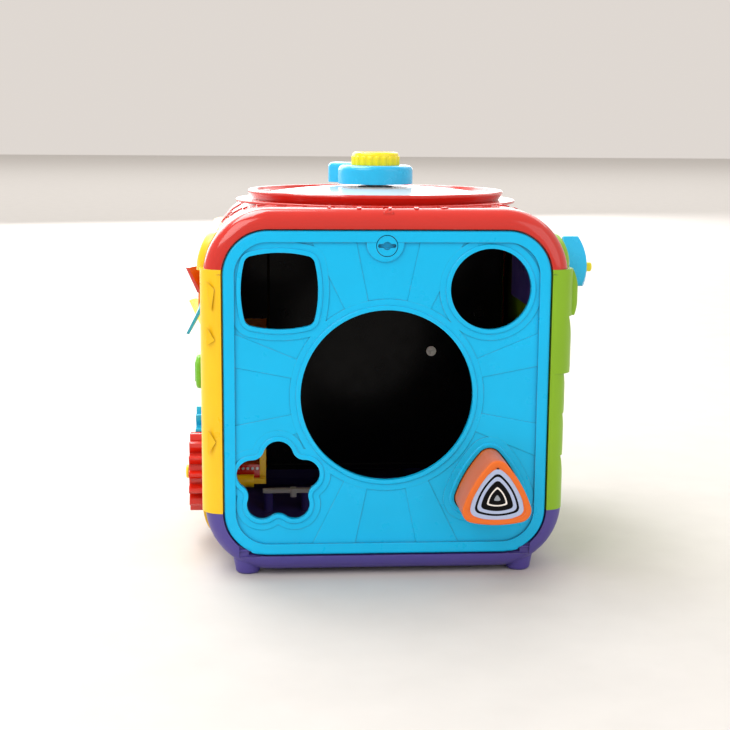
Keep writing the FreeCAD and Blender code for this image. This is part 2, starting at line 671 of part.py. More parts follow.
def make_door():
    """Light blue door: recessed face inside a raised rim, each hole with a raised lip."""
    plate = slab(door_outline(), DOOR_BACK, DOOR_FACE)
    rim = slab(door_outline(), DOOR_BACK, HALF_D)
    rim = soften(soften(rim, RIM_ROUND, HALF_D), DOOR_BACK_ROUND, DOOR_BACK)
    rim = rim.cut(slab(door_outline(-RIM_WIDTH - 1.2), DOOR_BACK - 1, HALF_D + 1))
    parts = [plate.common(slab(door_outline(-2.5), 100, 140)), rim]
    field = slab(door_outline(-RIM_WIDTH - 0.8), DOOR_FACE - 1, DOOR_FACE + STEP_HEIGHT)
    for outline in (square_outline, flower_outline):
        parts.append(slab(outline(STEP), DOOR_FACE - 1, DOOR_FACE + STEP_HEIGHT).common(field))
        parts.append(raised_ring(outline(LIP), outline(-1), DOOR_FACE - 2, DOOR_FACE + LIP_HEIGHT, 1.3))
    for radius, centre in ((BIG_HOLE_R, BIG_HOLE), (CIRCLE_R, CIRCLE_HOLE)):
        step = slab(circle(radius + STEP, centre), DOOR_FACE - 1, DOOR_FACE + STEP_HEIGHT)
        parts.append(step.common(field))
        parts.append(raised_ring(circle(radius + LIP, centre), circle(radius - 1, centre),
                                 DOOR_FACE - 2, DOOR_FACE + LIP_HEIGHT, 1.3))
    play = BLOCK_PLAY
    parts.append(slab(triangle_outline(play + STEP), DOOR_FACE - 1, DOOR_FACE + STEP_HEIGHT).common(field))
    parts.append(raised_ring(triangle_outline(play + LIP), triangle_outline(play - 1),
                             DOOR_FACE - 2, DOOR_FACE + LIP_HEIGHT, 1.3))
    for start, end in RAYS:
        for a0, a1 in ((start, end), (-end, -start)):
            parts.append(sector(BIG_HOLE_R + STEP - 1, 190.0, a0, a1, BIG_HOLE,
                                DOOR_FACE - 1, DOOR_FACE + STEP_HEIGHT * 0.8).common(field))
    tab = slab(circle(14.0, (LATCH[0] - 1.1, 249.4)), DOOR_FACE - 1, HALF_D - 0.3)
    parts.append(soften(tab, 1.2, HALF_D - 0.3).common(slab(door_outline(-RIM_WIDTH + 2), 100, 140)))
    door = union(parts)
    for outline in hole_outlines():
        door = door.cut(slab(outline, DOOR_BACK - 1, HALF_D + 1))
    door = stand(door.cut(rod(LATCH_R + 0.35, DOOR_BACK - 1, HALF_D + 1, LATCH)), "front")
    limits = stand(slab(door_outline(), DOOR_BACK - 3, HALF_D), "front")
    for sx in (-1, 1):
        x0, x1 = sorted((sx * KNUCKLE_X[0], sx * KNUCKLE_X[1]))
        door = door.fuse(hinge_bar(HINGE_R, x0, x1).common(limits))
    for sx in (-1, 1):
        x0, x1 = sorted((sx * (PIN_X[0] - 0.5), sx * (PIN_X[1] + 5)))
        door = door.cut(hinge_bar(HINGE_PIN_R + RUN, x0, x1))
    return door.removeSplitter()


def make_hinge_pins():
    return Part.Compound([hinge_bar(HINGE_PIN_R, -PIN_X[1], -PIN_X[0]), hinge_bar(HINGE_PIN_R, *PIN_X)])


def make_latch():
    """Quarter-turn rotor with a coin slot, and the tongue behind the keeper."""
    head = soften(rod(LATCH_R, LEDGE_OUT + 0.4, HALF_D - 0.4, LATCH), 0.5, HALF_D - 0.4)
    neck = rod(3.6, LEDGE_IN - 1.0, LEDGE_OUT + 1, LATCH)
    tongue = slab(rounded(LATCH[0] - 3.5, LATCH[0] + 3.5, LATCH[1] - 10, LATCH[1] + 10, 3.4),
                  LEDGE_IN - 3.2, LEDGE_IN - 0.6)
    latch = union([head, neck, tongue])
    coin = rounded(LATCH[0] - 6.6, LATCH[0] + 6.6, LATCH[1] - 1.4, LATCH[1] + 1.4, 1.3)
    coin = slab(coin, HALF_D - 3.0, HALF_D)
    dimple = rod(3.0, HALF_D - 2.4, HALF_D, LATCH)
    return stand(latch.cut(coin).cut(dimple), "front")


def make_block():
    """Triangle block with a slightly sunk printed face and a small cord hole."""
    body = soften(slab(triangle_outline(), BLOCK_IN, BLOCK_OUT), 1.4, BLOCK_OUT)
    body = soften(body, 1.4, BLOCK_IN)
    field = slab(triangle_outline(-4.2), BLOCK_OUT - 0.5, BLOCK_OUT + 1)
    dot = rod(1.1, BLOCK_OUT - 8, BLOCK_OUT + 1, (BLOCK[0], BLOCK[1] + 21.6))
    return stand(body.cut(field).cut(dot), "front")


# ---- dial on the top ----------------------------------------------------------------------


def make_dial():
    ring = turned_profile([(RING_R - 3.2, PLATEAU_TOP), (RING_R, RING_TOP - 2.2), (RING_R, RING_TOP - 1.0),
                           (RING_R - 1.0, RING_TOP), (RING_R - 3.6, RING_TOP),
                           (PLATE_R + 1.6, RING_TOP - 2.2), (PLATE_R + 0.3, RING_TOP - 3.2),
                           (PLATE_R + 0.3, PLATEAU_TOP)])
    rise = PLATE_TOP - PLATE_EDGE
    sphere_r = (PLATE_R ** 2 + rise ** 2) / (2 * rise)
    drum = rod(PLATE_R, PLATEAU_TOP, PLATE_TOP + 1)
    plate = drum.common(Part.makeSphere(sphere_r, V(0, 0, PLATE_TOP - sphere_r)))
    plate = plate.cut(rod(SHAFT_R + 0.4, 270, 290))
    bush = union([rod(8.0, 261.0, PLATEAU_TOP), rod(11.0, 259.4, 261.9)]).cut(rod(SHAFT_R + RUN, 250, 290))
    shaft = union([rod(SHAFT_R, 250.0, HUB_TOP - 3), rod(HUB_R - 16, HUB_BOTTOM - SHAFT_FLANGE, HUB_BOTTOM)])
    clip_groove = rod(SHAFT_R + 1, 254.0, 256.0).cut(rod(SHAFT_R - 1.2, 250, 260))
    clip = rod(9.0, 254.1, 255.9).cut(rod(SHAFT_R - 1.2, 250, 260))
    return {
        "dial_ring": ring,
        "dial_plate": plate,
        "dial_bush": bush,
        "dial_shaft": shaft.cut(clip_groove),
        "shaft_clip": clip,
        "pointer_hub": make_hub(),
        "pointer_knob": make_knob(),
    }


def make_hub():
    """Round hub with a pointing arm."""
    disc = soften(rod(HUB_R, HUB_BOTTOM, HUB_TOP), HUB_ROUND, HUB_TOP)
    angle = math.atan2(ARM_END[1], ARM_END[0])
    side = (math.cos(angle + math.pi / 2) * ARM_R, math.sin(angle + math.pi / 2) * ARM_R)
    near = [(side[0], side[1]), (-side[0], -side[1])]
    far = [(ARM_END[0] - side[0], ARM_END[1] - side[1]), (ARM_END[0] + side[0], ARM_END[1] + side[1])]
    tip = polar(math.hypot(*ARM_END) + ARM_R, angle)
    wire = Part.Wire([line(near[0], near[1]), line(near[1], far[0]),
                      arc(far[0], tip, far[1]), line(far[1], near[0])])
    arm = soften(slab(wire, HUB_BOTTOM, ARM_TOP), ARM_ROUND, ARM_TOP)
    arm = arm.cut(rod(KNOB_R + 1.0, HUB_TOP, ARM_TOP + 1))
    hub = union([disc, arm])
    return hub.cut(rod(SHAFT_R, HUB_BOTTOM - 1, HUB_TOP - 3))


def make_knob():
    """Ribbed knob with a smooth crown on the hub."""
    body = soften(rod(KNOB_R - 1.0, HUB_TOP, KNOB_TOP), KNOB_CROWN - 0.6, KNOB_TOP)
    rib_top = KNOB_TOP - KNOB_CROWN
    ribs = []
    for k in range(KNOB_RIBS):
        angle = 2 * math.pi * k / KNOB_RIBS
        rib = rod(KNOB_RIB_R, HUB_TOP, rib_top, polar(KNOB_R - KNOB_RIB_R, angle))
        ribs.append(soften(rib, 1.0, rib_top))
    dish = rod(KNOB_R - 5, KNOB_TOP - 0.8, KNOB_TOP + 1)
    return union([body] + ribs).cut(dish)


# ---- left side ----------------------------------------------------------------------------


def involute(angle):
    return math.tan(angle) - angle


def gear_outline(teeth, centre, phase):
    """Involute gear wire; a tooth points along the angle phase."""
    pitch_r = GEAR_MODULE * teeth / 2
    base_r = pitch_r * math.cos(GEAR_ANGLE)
    tip_r = pitch_r + 0.9 * GEAR_MODULE
    root_r = pitch_r - 1.2 * GEAR_MODULE
    half_pitch = (math.pi * GEAR_MODULE / 2 - GEAR_BACKLASH / 2) / (2 * pitch_r)
    radii = [base_r + (tip_r - base_r) * (k / 4) ** 1.5 for k in range(5)]
    spread = [half_pitch + involute(GEAR_ANGLE) - involute(math.acos(base_r / r)) for r in radii]
    edges = []
    for tooth in range(teeth):
        middle = phase + 2 * math.pi * tooth / teeth
        right = [polar(r, middle - s, centre) for r, s in zip(radii, spread)]
        left = [polar(r, middle + s, centre) for r, s in zip(radii, spread)]
        gap = math.pi / teeth
        flank = Part.BSplineCurve()
        flank.interpolate([V(u, v, 0) for u, v in right])
        edges.append(line(polar(root_r, middle - spread[0], centre), right[0]))
        edges.append(flank.toShape())
        edges.append(arc(right[-1], polar(tip_r, middle, centre), left[-1]))
        flank = Part.BSplineCurve()
        flank.interpolate([V(u, v, 0) for u, v in reversed(left)])
        edges.append(flank.toShape())
        edges.append(line(left[0], polar(root_r, middle + spread[0], centre)))
        following = middle + 2 * gap
        edges.append(arc(polar(root_r, middle + spread[0], centre), polar(root_r, middle + gap, centre),
                         polar(root_r, following - spread[0], centre)))
    return Part.Wire(edges)


def gear_phases():
    """Tooth angles, in the drawing plane of the left side, that put the train in mesh."""
    centres = [(-y, z) for _n, _t, (y, z), _x, _h in GEARS]
    phases = []
    toward = math.atan2(centres[1][1] - centres[0][1], centres[1][0] - centres[0][0])
    phases.append(toward)
    for k in range(1, len(GEARS)):
        previous, teeth = GEARS[k - 1][1], GEARS[k][1]
        toward = math.atan2(centres[k][1] - centres[k - 1][1], centres[k][0] - centres[k - 1][0])
        ahead = ((toward - phases[-1]) * previous / (2 * math.pi)) % 1.0
        phases.append(toward + math.pi + (2 * ahead + 1) * math.pi / teeth)
    return phases


def make_gears():
    """Three meshed gears on fixed axles; each has a round hub and holes in its web."""
    nodes = {}
    for (name, teeth, (y, z), face, hub), phase in zip(GEARS, gear_phases()):
        centre = (-y, z)
        root_r = GEAR_MODULE * teeth / 2 - 1.2 * GEAR_MODULE
        body = slab(gear_outline(teeth, centre, phase), GEAR_INNER, face)
        dish = rod(root_r - 3.0, face - 1.2, face + 1, centre).cut(rod(8.0, 130, 160, centre))
        boss = soften(rod(8.0, GEAR_INNER, face + hub, centre), 0.8, face + hub)
        body = body.cut(dish).fuse(boss)
        for k in range(5):
            spot = polar((root_r - 3.0 + 8.0) / 2, phase + 2 * math.pi * k / 5, centre)
            body = body.cut(rod((root_r - 3.0 - 8.0) * 0.32, 130, 160, spot))
        nodes[name] = stand(body.cut(rod(AXLE_R + RUN, 130, 160, centre)).removeSplitter(), "left")
    return nodes


def make_gear_train_support():
    """Axles of the gears, the yellow carrier that holds their inner ends, and its red retainer."""
    axles = []
    for _name, _teeth, (y, z), face, hub in GEARS:
        head = soften(rod(5.4, face + hub + 0.4, face + hub + 2.4, (-y, z)), 1.0, face + hub + 2.4)
        axles.append(stand(rod(AXLE_R, 92.0, face + hub + 1, (-y, z)).fuse(head).removeSplitter(), "left"))
    parts = [box(*CARRIER_X, *CARRIER_Y, *CARRIER_Z)]
    first = GEARS[0][2]
    parts.append(stand(rod(CARRIER_EAR_R, -CARRIER_X[1], -CARRIER_X[0], (-first[0], first[1])), "left"))
    for y in (CARRIER_Y[0], CARRIER_Y[1] - CARRIER_ARM):
        parts.append(box(-HALF_W + WALL, CARRIER_X[1] - 3, y, y + CARRIER_ARM, CARRIER_ARM_Z, CARRIER_Z[1]))
    parts.append(Part.makeCylinder(ROLL_R, ROLL_X[1] - ROLL_X[0], V(ROLL_X[0], *ROLL_YZ), V(1, 0, 0)))
    parts.append(box(ROLL_X[1] - 1, CARRIER_X[1] - 1, ROLL_YZ[0] - 2, ROLL_YZ[0] + 2,
                     ROLL_YZ[1] - 2, ROLL_YZ[1] + 2))
    parts.append(box(CARRIER_X[0] + 0.5, CARRIER_X[1] - 1, ROLL_YZ[0], CARRIER_Y[0] + 1,
                     ROLL_YZ[1] - 2, ROLL_YZ[1] + 2))
    carrier = union(parts)
    retainer = box(*RETAINER_X, *RETAINER_Y, *RETAINER_Z)
    for _name, _teeth, (y, z), _face, _hub in GEARS:
        carrier = carrier.cut(stand(rod(AXLE_R, 80, 140, (-y, z)), "left"))
        retainer = retainer.cut(stand(rod(AXLE_R + 1, 80, 140, (-y, z)), "left"))
    screws = []
    step = (RETAINER_X[1] - RETAINER_X[0]) / RETAINER_SCREWS
    for k in range(RETAINER_SCREWS):
        spot = V(RETAINER_X[0] + step * (k + 0.5), RETAINER_Y[0] - 1.0, RETAINER_Z[1] - 3.0)
        screws.append(Part.makeCylinder(RETAINER_SCREW_R, 1.0, spot, V(0, 1, 0)))
    return {
        "gear_axles": Part.Compound(axles),
        "gear_carrier": carrier,
        "gear_retainer": retainer,
        "retainer_screws": Part.Compound(screws),
    }


BLADES = ["blade_red", "blade_blue", "blade_yellow"]


def blade_section(radius, w, half_width, thick, twist):
    """Rectangle across a blade at the given radius, tilted by twist."""
    half_thick = thick / 2
    corners = [(-half_width, -half_thick), (half_width, -half_thick),
               (half_width, half_thick), (-half_width, half_thick)]
    points = []
    for a, b in corners:
        side = a * math.cos(twist) - b * math.sin(twist)
        out = a * math.sin(twist) + b * math.cos(twist)
        points.append(V(side, radius, w + out))
    return Part.makePolygon(points + points[:1])


def make_pinwheel():
    """Three bent sails on a turning hub."""
    nodes = {}
    centre = V(-PINWHEEL[0], PINWHEEL[1], 0)
    for k, name in enumerate(BLADES):
        sections = []
        for radius, w, half_width, thick, twist in SAIL:
            sections.append(blade_section(radius, w, half_width, thick, math.radians(twist)))
        blade = Part.makeLoft(sections, True, False).cut(rod(PINWHEEL_HUB_R, 130, 160))
        blade.rotate(V(0, 0, 0), V(0, 0, 1), -360.0 * k / len(BLADES))
        blade.translate(centre)
        nodes[name] = stand(blade, "left")
    bore_end = PINWHEEL_HUB_OUT - 1.2
    hub = soften(rod(PINWHEEL_HUB_R, GEAR_INNER, PINWHEEL_HUB_OUT), 1.0, PINWHEEL_HUB_OUT)
    hub = hub.cut(rod(AXLE_R + RUN, 130, bore_end))
    hub.translate(centre)
    axle = soften(rod(AXLE_R, 118.0, bore_end - 0.4), 0.6, bore_end - 0.4).fuse(rod(7.0, 120.6, 123.8))
    axle.translate(centre)
    nodes["pinwheel_hub"] = stand(hub, "left")
    nodes["pinwheel_axle"] = stand(axle.removeSplitter(), "left")
    return nodes


def make_slider():
    u, v = -SLIDER[0], SLIDER[1]
    knob = soften(slab(rounded(u - 16, u + 16, v - 14, v + 14, 9.0), LEFT_HALF_W + 0.5, 145.2), 2.6, 145.2)
    grip = []
    for k in range(4):
        middle = u - 9 + 6 * k
        grip.append(slab(rounded(middle - 1, middle + 1, v - 8, v + 8, 0.9), 144.0, 146.0))
    neck = slab(rounded(u - 6, u + 6, v - 3.9, v + 3.9, 3.5), HALF_W - WALL - 0.4, LEFT_HALF_W + 1)
    plate = slab(rounded(u - 12, u + 12, v - 11, v + 11, 3.0), HALF_W - WALL - 2.4, HALF_W - WALL - 0.4)
    return {
        "slider_knob": stand(union([knob, neck] + grip), "left"),
        "slider_plate": stand(plate, "left"),
    }


# ---- right side ---------------------------------------------------------------------------


def make_spinner():
    """Three-sided spinner with a domed face, on a live axle into a gearbox."""
    y, z = SPINNER
    back, crown = SPINNER_X
    outline = bulged(3, SPINNER_REACH, SPINNER_FLAT, SPINNER_CORNER, SPINNER)
    spinner = slab(outline, back, crown + 1).common(
        Part.makeSphere(SPINNER_DOME_R, V(y, z, crown - SPINNER_DOME_R)))
    spinner = soften(spinner, 1.0, back)
    seat = crown - 2.6
    spinner = spinner.cut(rod(AXLE_R, 140, seat, SPINNER)).cut(rod(SPINNER_TIP_R + 0.3, seat, 170, SPINNER))
    tip = soften(rod(SPINNER_TIP_R, seat, seat + 7.2, SPINNER), 1.6, seat + 7.2)
    axle = union([rod(AXLE_R, 117.0, seat, SPINNER), rod(8.0, 118.0, 121.0, SPINNER)])
    gearbox = box(114.0, 125.0, -76.0, 6.0, 196.0, 244.0).cut(box(116.0, 123.0, -74.0, 4.0, 198.0, 242.0))
    gearbox = gearbox.cut(stand(rod(AXLE_R + 1.0, 100, 130, SPINNER), "right"))
    mounts = [rod(3.0, 124.0, RIGHT_INNER, (v, 202.0)) for v in (-70.0, 0.0)]
    return {
        "side_spinner": stand(spinner, "right"),
        "spinner_cap": stand(tip, "right"),
        "spinner_axle": stand(axle, "right"),
        "spinner_gearbox": union([gearbox] + [stand(m, "right") for m in mounts]),
    }


def make_roller():
    """Ribbed roller on an upright axle in a window of the right panel."""
    x, z = ROLLER
    body = rod(ROLLER_R - 1.2, -ROLLER_HALF, ROLLER_HALF)
    ribs = []
    for k in range(12):
        ribs.append(rod(2.0, -ROLLER_HALF, ROLLER_HALF, polar(ROLLER_R - 2.0, 2 * math.pi * k / 12)))
    roller = union([body] + ribs).cut(rod(2.0 + RUN, -50, 50))
    axle = rod(2.0, -ROLLER_HALF - 6, ROLLER_HALF + 6)
    ends = [rod(6.0, s * (ROLLER_HALF + 3.0) - 2, s * (ROLLER_HALF + 3.0) + 2) for s in (-1, 1)]
    turn = FreeCAD.Placement(V(x, 0, z), FreeCAD.Rotation(V(1, 0, 0), 90))
    solids = []
    for shape in (roller, axle, ends[0], ends[1]):
        shape.Placement = turn
        solids.append(shape)
    back = box(104.0, 106.0, -ROLLER_HALF - 5, ROLLER_HALF + 5, z - 12, z + 12)
    sides = []
    for s in (-1, 1):
        arm = s * (ROLLER_HALF + 3.0)
        tab = s * (ROLLER_HALF + 8.0)
        sides.append(box(104.0, 128.0, arm - 2, arm + 2, z - 6, z + 6))
        sides.append(box(126.2, 128.2, tab - 7, tab + 7, z - 6, z + 6))
    bracket = union([back] + sides).cut(solids[1])
    return {"side_roller": solids[0], "roller_axle": solids[1], "roller_bracket": bracket}


# ---- electronics and rear panel -----------------------------------------------------------


def make_housing():
    """Open-backed housing with a wing behind the square hole, a bottom lip and screw posts."""
    outer = box(HOUSE_X0, HOUSE_X1, HOUSE_Y, LEDGE_OUT, HOUSE_Z0, HOUSE_Z1)
    edges = [e for e in outer.Edges if e.BoundBox.YMax < HOUSE_Y + 0.1]
    outer = outer.makeFillet(HOUSE_ROUND, edges)
    inner = box(HOUSE_X0 + HOUSE_WALL, HOUSE_X1 - HOUSE_WALL, HOUSE_Y + HOUSE_WALL, LEDGE_OUT + 1,
                HOUSE_Z0 + HOUSE_WALL, HOUSE_Z1 - HOUSE_WALL)
    lip = box(HOUSE_X0, HOUSE_X1, HOUSE_Y - HOUSE_LIP[0], HOUSE_Y + HOUSE_LIP[0],
              HOUSE_Z0, HOUSE_Z0 + HOUSE_LIP[1])
    wing = box(WING_X, HOUSE_X0 + HOUSE_WALL, HOUSE_Y + 1, HOUSE_Y + 1 + HOUSE_WALL, WING_Z, HOUSE_Z1)
    parts = [outer.cut(inner), lip, wing]
    for x, z in screw_spots():
        parts.append(Part.makeCylinder(SCREW_POST_R, BOARD_Y - HOUSE_Y - 1, V(x, HOUSE_Y + 1, z), V(0, 1, 0)))
    shell = union(parts)
    for x, z in screw_spots():
        shell = shell.cut(Part.makeCylinder(SCREW_R, 4.0, V(x, HOUSE_Y - 1, z), V(0, 1, 0)))
    return shell


def screw_spots():
    return [(51.7, 144.0), (-72.0, 144.0), (-72.0, 60.0), (92.0, 60.0), (-72.0, 176.0), (92.0, 176.0)]


def housing_screw(x, z):
    """Cross-head screw with a broad head."""
    head_r, head_h = SCREW_HEAD
    front = HOUSE_Y - head_h
    screw = Part.makeCylinder(head_r, head_h, V(x, front, z), V(0, 1, 0))
    screw = screw.fuse(Part.makeCylinder(SCREW_R, 3.0 + head_h - 1.0, V(x, HOUSE_Y - 1.0, z), V(0, 1, 0)))
    cross = box(x - 2.2, x + 2.2, front - 1, front + 0.7, z - 0.5, z + 0.5)
    cross = cross.fuse(box(x - 0.5, x + 0.5, front - 1, front + 0.7, z - 2.2, z + 2.2))
    return screw.removeSplitter().cut(cross)


def make_housing_screws():
    """The screw with a white washer head in the middle, and the five dark ones round it."""
    spots = screw_spots()
    return {
        "washer_screw": housing_screw(*spots[0]),
        "housing_screws": Part.Compound([housing_screw(x, z) for x, z in spots[1:]]),
    }


def key_centres():
    middle = (KEY_COUNT - 1) / 2
    return [KEY_MIDDLE + KEY_PITCH * (k - middle) for k in range(KEY_COUNT)]


def key_outline(u, grow=0.0):
    return rounded(u - KEY_HALF_W - grow, u + KEY_HALF_W + grow, KEY_Z[0] - grow, KEY_Z[1] + grow, 4.0 + grow)


def button_outline(k, grow=0.0):
    centre = (BUTTON_X[k], BUTTON_Z)
    if k == 0:
        return circle(BUTTON_R - 2 + grow, centre)
    if k == 1:
        return bulged(4, BUTTON_R + 0.5, BUTTON_R - 3, 3.5, centre, grow)
    if k == 2:
        return bulged(3, BUTTON_R, 11.2, 4.0, (centre[0], centre[1] - 2), grow)
    return petals(5, BUTTON_R - 6.5, 6.0, 5.0, centre, grow)


BUTTON_NAMES = ["circle_button", "square_button", "triangle_button", "flower_button"]
FLANGE_OUT = LEDGE_OUT - 0.5
FLANGE_IN = LEDGE_OUT - 2.0


def pressed_part(outline, out, radius, flange=0.7):
    """Button or key: a cap through its window and a flange that keeps it in."""
    body = soften(slab(outline(-BUTTON_GAP), FLANGE_IN, out), radius, out)
    return stand(body.fuse(slab(outline(flange), FLANGE_IN, FLANGE_OUT)).removeSplitter(), "back")


def make_rear():
    """Rear panel with its keys, buttons, light and switch."""
    nodes = {}
    plate = slab(door_outline(), LEDGE_OUT, REAR_FACE)
    rim = soften(slab(door_outline(), LEDGE_OUT, HALF_D - 0.2), 2.0, HALF_D - 0.2)
    rim = rim.cut(slab(door_outline(-RIM_WIDTH), 100, 140))
    parts = [plate.common(slab(door_outline(-2.2), 100, 140)), rim]
    keybed = rounded(KEY_MIDDLE - 80.0, KEY_MIDDLE + 80.0, KEY_Z[0] - 8, KEY_Z[1] + 8, 10.0)
    parts.append(soften(slab(keybed, REAR_FACE - 1, REAR_FACE + 1.2), 0.8, REAR_FACE + 1.2))
    for radius, centre in ((LIGHT_R + 5, LIGHT), (SPEAKER_R + 4, SPEAKER)):
        parts.append(soften(rod(radius, REAR_FACE - 1, REAR_FACE + 1.2, centre), 0.8, REAR_FACE + 1.2))
    for k in range(4):
        bezel = slab(button_outline(k, 3.2), REAR_FACE - 1, REAR_FACE + 1.0)
        parts.append(soften(bezel, 0.7, REAR_FACE + 1.0))
    panel = union(parts)
    windows = [slab(key_outline(u), 100, 140) for u in key_centres()]
    windows += [slab(button_outline(k), 100, 140) for k in range(4)]
    windows.append(rod(LIGHT_R, 100, 140, LIGHT))
    windows.append(slab(rounded(SWITCH[0] - 12, SWITCH[0] + 12, SWITCH[1] - 4, SWITCH[1] + 4, 3.5), 100, 140))
    windows += [rod(1.5, 100, 140, spot) for spot in grille_spots()]
    nodes["back_panel"] = stand(panel.cut(Part.Compound(windows)), "back")
    for k, u in enumerate(key_centres()):
        nodes["piano_key_%d" % (k + 1)] = pressed_part(lambda g, u=u: key_outline(u, g), HALF_D + 2.4, 1.6)
    for k, name in enumerate(BUTTON_NAMES):
        nodes[name] = pressed_part(lambda g, k=k: button_outline(k, g), HALF_D + 2.0, 1.2)
    nodes["light_button"] = make_light_button()
    knob = soften(slab(rounded(SWITCH[0] - 9, SWITCH[0] - 1, SWITCH[1] - 3.5, SWITCH[1] + 3.5, 2.5),
                       FLANGE_IN, HALF_D + 1.6), 0.8, HALF_D + 1.6)
    foot = rounded(SWITCH[0] - 11, SWITCH[0] + 1, SWITCH[1] - 6, SWITCH[1] + 6, 1.5)
    foot = slab(foot, FLANGE_IN, FLANGE_OUT)
    nodes["power_switch"] = stand(knob.fuse(foot).removeSplitter(), "back")
    return nodes


def make_light_button():
    """Domed translucent button."""
    radius = LIGHT_R - BUTTON_GAP
    rise = 7.0
    sphere_r = (radius ** 2 + rise ** 2) / (2 * rise)
    crown = REAR_FACE + 1.0 + rise
    dome = rod(radius, FLANGE_IN, crown + 1, LIGHT)
    dome = dome.common(Part.makeSphere(sphere_r, V(LIGHT[0], LIGHT[1], crown - sphere_r)))
    return stand(dome.fuse(rod(LIGHT_R + 0.9, FLANGE_IN, FLANGE_OUT, LIGHT)).removeSplitter(), "back")


def grille_spots():
    spots = [SPEAKER]
    for ring, count in ((5.5, 6), (11.0, 12), (16.5, 18)):
        spots += [polar(ring, 2 * math.pi * k / count, SPEAKER) for k in range(count)]
    return spots


def make_electronics():
    """Circuit board, its rubber domes and the loudspeaker."""
    speaker_hole = rod(SPEAKER_R + 3, 100, 130, SPEAKER)
    board = slab(rounded(-108.0, 84.0, 48.0, 229.0, 3.0), BOARD_Y, BOARD_Y + 1.6).cut(speaker_hole)
    spots = [(u, 78.0) for u in key_centres()] + [(u, BUTTON_Z) for u in BUTTON_X] + [LIGHT]
    domes = []
    for u, v in spots:
        dome = turned_profile([(0, BOARD_Y + 1.6), (6.0, BOARD_Y + 1.6),
                               (4.0, BOARD_Y + 5.4), (0, BOARD_Y + 5.4)])
        dome.translate(V(u, v, 0))
        domes.append(stand(dome, "back"))
    cone = [(0, LEDGE_OUT - 12), (12, LEDGE_OUT - 12), (13, LEDGE_OUT - 6), (SPEAKER_R - 1, LEDGE_OUT - 3),
            (SPEAKER_R - 1, LEDGE_OUT), (SPEAKER_R - 4, LEDGE_OUT), (10, LEDGE_OUT - 3), (0, LEDGE_OUT - 2)]
    speaker = turned_profile(cone)
    speaker.translate(V(SPEAKER[0], SPEAKER[1], 0))
    return {
        "circuit_board": stand(board, "back"),
        "button_domes": Part.Compound(domes),
        "speaker": stand(speaker, "back"),
    }


def make_batteries():
    cells = []
    for y in CELL_Y:
        can = Part.makeCylinder(CELL_R, CELL_L - 1.5, V(-CELL_L / 2, y, CELL_Z), V(1, 0, 0))
        nub = Part.makeCylinder(2.7, 1.5, V(CELL_L / 2 - 1.5, y, CELL_Z), V(1, 0, 0))
        cells.append(can.fuse(nub).removeSplitter())
    contacts = []
    for y in CELL_Y:
        for x0, x1 in ((-31.0, -30.2), (30.2, 31.0)):
            contacts.append(box(x0, x1, y - 5.5, y + 5.5, CELL_Z - 5.5, CELL_Z + 5.5))
        contacts.append(box(-30.2, -CELL_L / 2, y - 1.5, y + 1.5, CELL_Z - 1.5, CELL_Z + 1.5))
        contacts.append(box(CELL_L / 2, 30.2, y - 1.5, y + 1.5, CELL_Z - 1.5, CELL_Z + 1.5))
    springs = []
    for k in range(0, len(contacts), 4):
        springs.append(contacts[k].fuse(contacts[k + 2]).removeSplitter())
        springs.append(contacts[k + 1].fuse(contacts[k + 3]).removeSplitter())
    return {"batteries": Part.Compound(cells), "battery_contacts": Part.Compound(springs)}


def make_screws():
    """Four long casing screws from below, and the small screw of the battery door."""
    screws = []
    for x, y in tower_places():
        head = rod(3.0, SCREW_HEAD_Z - 1.6, SCREW_HEAD_Z, (x, y))
        screws.append(head.fuse(rod(SCREW_CORE_R, SCREW_HEAD_Z - 1, 76.0, (x, y))).removeSplitter())
    lid_head = rod(2.6, BODY_BOTTOM - 1.2, BODY_BOTTOM, LID_SCREW)
    lid_stem = rod(SCREW_CORE_R, BODY_BOTTOM - 1, LID_PILOT_TOP - 0.4, LID_SCREW)
    screws.append(lid_head.fuse(lid_stem).removeSplitter())
    return Part.Compound(screws)


def make_cable_bar():
    """White bar across two floor posts that clamps the leads under the housing."""
    bar = soften(slab(rounded(*BAR_X, *BAR_Y, 2.0), *BAR_Z), 0.6, BAR_Z[1])
    lump = slab(rounded(-68.5, -63.0, BAR_Y[0] - 1, BAR_Y[1] + 1, 2.0), BAR_Z[0] - 3.6, BAR_Z[1] + 0.6)
    end = slab(rounded(BAR_X[1] - 0.5, BAR_X[1] + 5, BAR_Y[0] - 1, BAR_Y[1] + 1, 2.0),
               BAR_Z[0] - 2, BAR_Z[1] + 1.6)
    return union([bar, lump, end])


# ---- all sub-parts ------------------------------------------------------------------------


def build():
    nodes = {}
    nodes.update(make_casing())
    nodes["door"] = make_door()
    nodes["door_hinge_pins"] = make_hinge_pins()
    nodes["door_latch"] = make_latch()
    nodes["triangle_block"] = make_block()
    nodes.update(make_dial())
    nodes.update(make_gears())
    nodes.update(make_gear_train_support())
    nodes.update(make_pinwheel())
    nodes.update(make_slider())
    nodes.update(make_spinner())
    nodes.update(make_roller())
    nodes["electronics_housing"] = make_housing()
    nodes.update(make_housing_screws())
    nodes.update(make_rear())
    nodes.update(make_electronics())
    nodes.update(make_batteries())
    nodes["battery_door"] = make_battery_door()
    nodes["body_screws"] = make_screws()
    nodes["cable_bar"] = make_cable_bar()
    return nodes


os.makedirs("parts", exist_ok=True)
for node_name, node_shape in build().items():
    node_shape.exportStep("parts/%s.step" % node_name)
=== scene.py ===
import json
import math

import bmesh
import bpy
from mathutils import Matrix, Vector
from mathutils.bvhtree import BVHTree


